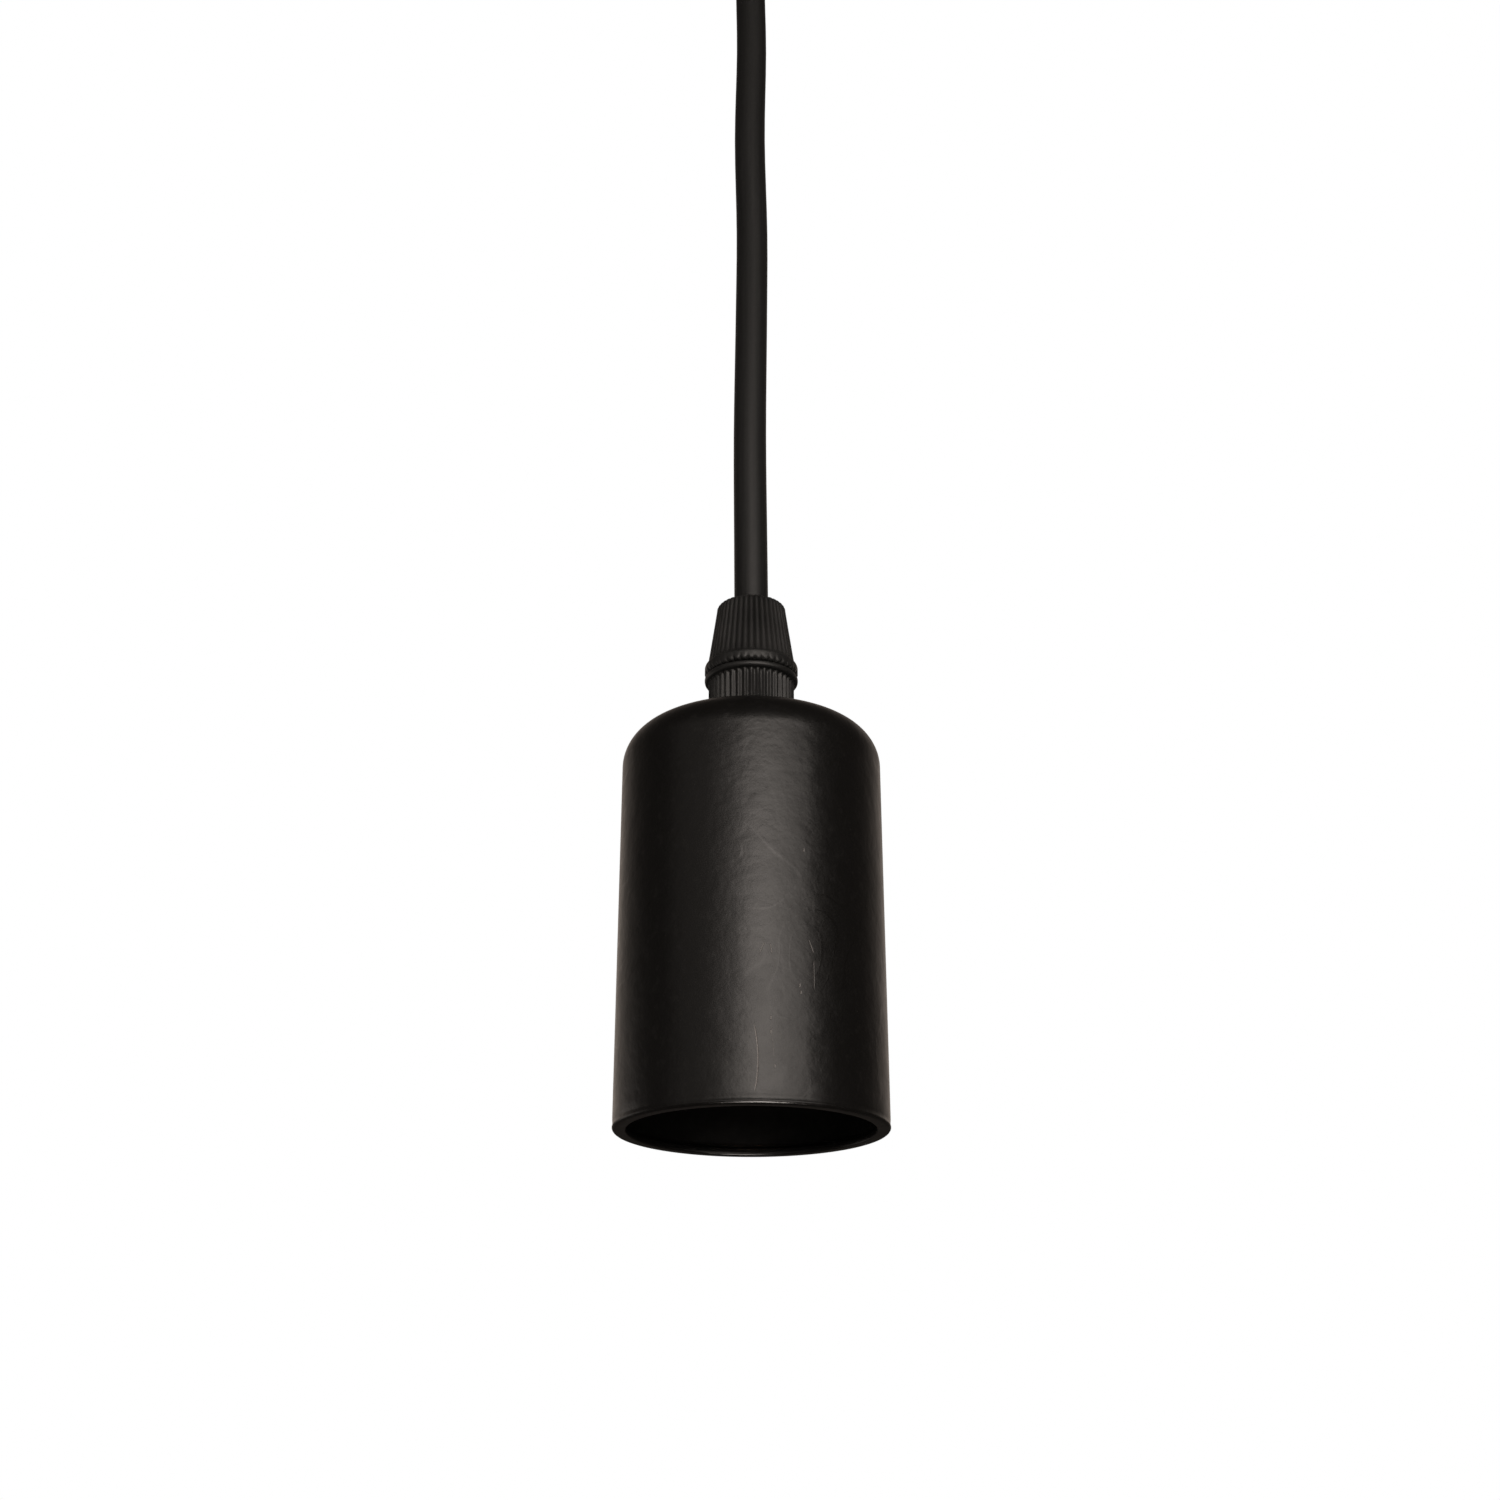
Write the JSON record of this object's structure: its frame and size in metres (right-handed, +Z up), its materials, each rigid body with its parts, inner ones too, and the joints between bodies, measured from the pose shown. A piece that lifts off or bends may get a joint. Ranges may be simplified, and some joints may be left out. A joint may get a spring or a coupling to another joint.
{
  "type": "pendant lamp socket",
  "caption": "Black metal cup lamp socket with a screw shell inside, hanging from a fluted cord grip on a round black cord with a small ceiling rose.",
  "frame": {"origin": "middle of the flat top of the ceiling bracket, where it lies on the ceiling, on the cord's axis", "axes": "+Z up, away from the hanging socket; +X to the right and +Y away from the viewer, as the picture shows it"},
  "size_m": [0.0806, 0.076, 0.3171],
  "materials": {
    "satin_black_paint": "satin black paint with light scuffs",
    "black_nylon": "moulded black nylon",
    "black_jacket": "extruded black jacket, faintly glossy",
    "black_moulding": "semi-gloss black moulding",
    "white_ceramic": "unglazed white ceramic",
    "brass": "machined brass",
    "spring_bronze": "rolled spring bronze",
    "nickelled_sheet": "nickel-plated sheet",
    "zinc_plated_steel": "zinc-plated steel",
    "white_nylon": "natural white nylon",
    "brown_insulation": "smooth brown insulation",
    "blue_insulation": "smooth blue insulation",
    "green_insulation": "smooth green insulation with a yellow stripe"
  },
  "bodies": {
    "root": {"outer_cup": "satin_black_paint", "grip_body": "black_nylon", "grip_nut": "black_nylon", "earth_tag": "zinc_plated_steel", "lock_nut": "zinc_plated_steel", "holder_cap": "black_moulding", "cap_bush": "brass", "cap_grub_screw": "zinc_plated_steel", "holder_skirt": "black_moulding", "contact_block": "white_ceramic", "screw_shell": "nickelled_sheet", "centre_contact": "spring_bronze", "shell_contact": "brass", "live_terminal": "brass", "live_terminal_screw": "zinc_plated_steel", "live_rivet": "brass", "neutral_terminal": "brass", "neutral_terminal_screw": "zinc_plated_steel", "neutral_rivet": "brass", "live_core": "brown_insulation", "neutral_core": "blue_insulation", "earth_core": "green_insulation", "cord": "black_jacket", "ceiling_bracket": "zinc_plated_steel", "ceiling_cup": "satin_black_paint", "ceiling_screw_left": "satin_black_paint", "ceiling_screw_right": "satin_black_paint", "ceiling_grip": "black_nylon", "ceiling_grip_screw": "black_nylon", "ceiling_lock_nut": "zinc_plated_steel", "terminal_strip": "white_nylon", "strip_sleeve_1": "brass", "strip_sleeve_2": "brass", "strip_sleeve_3": "brass", "strip_screw_1_near": "zinc_plated_steel", "strip_screw_1_far": "zinc_plated_steel", "strip_screw_2_near": "zinc_plated_steel", "strip_screw_2_far": "zinc_plated_steel", "strip_screw_3_near": "zinc_plated_steel", "strip_screw_3_far": "zinc_plated_steel", "strip_fixing_screw": "zinc_plated_steel", "live_supply_core": "brown_insulation", "neutral_supply_core": "blue_insulation", "earth_supply_core": "green_insulation"}
  },
  "joints": []
}
